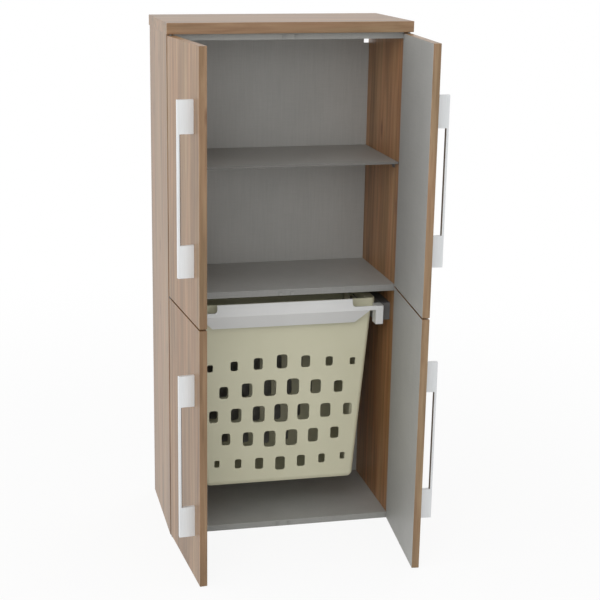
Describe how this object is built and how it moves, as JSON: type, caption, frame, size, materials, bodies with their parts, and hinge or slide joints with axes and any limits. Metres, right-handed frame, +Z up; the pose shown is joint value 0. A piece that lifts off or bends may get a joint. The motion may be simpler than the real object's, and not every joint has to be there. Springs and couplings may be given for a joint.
{
  "type": "bathroom cabinet",
  "caption": "Tall wood-look bathroom cabinet with hinged doors above and below, bow handles, a shelf, and a perforated laundry basket in a pull-out frame.",
  "frame": {"origin": "underside of the base panel, in the middle of the carcass's width and depth", "axes": "+X to the right as seen from the front, +Y to the back, +Z up; the doors face -Y"},
  "size_m": [0.6272, 0.599, 1.3],
  "materials": {
    "oak_board": "matt oak decor",
    "grey_board": "matt grey decor",
    "dark_shelf": "satin",
    "buffer_rubber": "soft matt",
    "white_metal": "satin white",
    "handle_metal": "satin",
    "bright_steel": "plated",
    "runner_steel": "zinc plated",
    "bush_plastic": "moulded",
    "spacer_plastic": "moulded",
    "basket_plastic": "moulded, satin"
  },
  "bodies": {
    "carcass": {"side_panel_left": "oak_board", "side_panel_right": "oak_board", "top_cover": "oak_board", "inner_top_panel": "grey_board", "divider_panel": "grey_board", "base_panel": "grey_board", "back_panel": "grey_board", "shelf": "dark_shelf", "shelf_supports": "bright_steel", "door_buffers": "buffer_rubber", "middle_pivot_brackets": "bright_steel", "bottom_pivot_brackets": "bright_steel", "pivot_pins": "bright_steel", "spacer_strip_left": "spacer_plastic", "spacer_strip_right": "spacer_plastic", "runner_outer_left": "runner_steel", "runner_outer_right": "runner_steel"},
    "pull_out_frame": {"frame_front_bar": "white_metal", "frame_rear_bar": "white_metal", "frame_rail_left": "white_metal", "frame_rail_right": "white_metal", "runner_inner_left": "runner_steel", "runner_inner_right": "runner_steel"},
    "runner_middles": {"runner_middle_left": "runner_steel", "runner_middle_right": "runner_steel"},
    "basket": {"laundry_basket": "basket_plastic"},
    "upper_left_door": {"door_upper_left": "oak_board", "handle_upper_left": "handle_metal", "pivot_bushes_upper_left": "bush_plastic"},
    "upper_right_door": {"door_upper_right": "oak_board", "handle_upper_right": "handle_metal", "pivot_bushes_upper_right": "bush_plastic"},
    "lower_left_door": {"door_lower_left": "oak_board", "handle_lower_left": "handle_metal", "pivot_bushes_lower_left": "bush_plastic"},
    "lower_right_door": {"door_lower_right": "oak_board", "handle_lower_right": "handle_metal", "pivot_bushes_lower_right": "bush_plastic"}
  },
  "joints": [
    {"name": "upper_left_door_hinge", "type": "hinge", "parent": "carcass", "child": "upper_left_door", "pos_m": [-0.2895, -0.1625, 0.955], "axis": [0, 0, -1], "range_deg": [-85, 25]},
    {"name": "upper_right_door_hinge", "type": "hinge", "parent": "carcass", "child": "upper_right_door", "pos_m": [0.2895, -0.1625, 0.955], "axis": [0, 0, 1], "range_deg": [-85, 25]},
    {"name": "lower_left_door_hinge", "type": "hinge", "parent": "carcass", "child": "lower_left_door", "pos_m": [-0.2895, -0.1625, 0.32], "axis": [0, 0, -1], "range_deg": [-85, 25]},
    {"name": "lower_right_door_hinge", "type": "hinge", "parent": "carcass", "child": "lower_right_door", "pos_m": [0.2895, -0.1625, 0.32], "axis": [0, 0, 1], "range_deg": [-85, 25]},
    {"name": "pull_out_slide", "type": "slide", "parent": "carcass", "child": "pull_out_frame", "axis": [0, -1, 0], "range_m": [0, 0.256]},
    {"name": "runner_middle_slide", "type": "slide", "parent": "carcass", "child": "runner_middles", "axis": [0, -1, 0], "range_m": [0, 0.128]},
    {"name": "basket_lift", "type": "slide", "parent": "pull_out_frame", "child": "basket", "axis": [0, 0, 1], "range_m": [0, 0.024]}
  ],
  "couplings": [
    {"joint": "runner_middle_slide", "follows": "pull_out_slide", "ratio": 0.5}
  ]
}
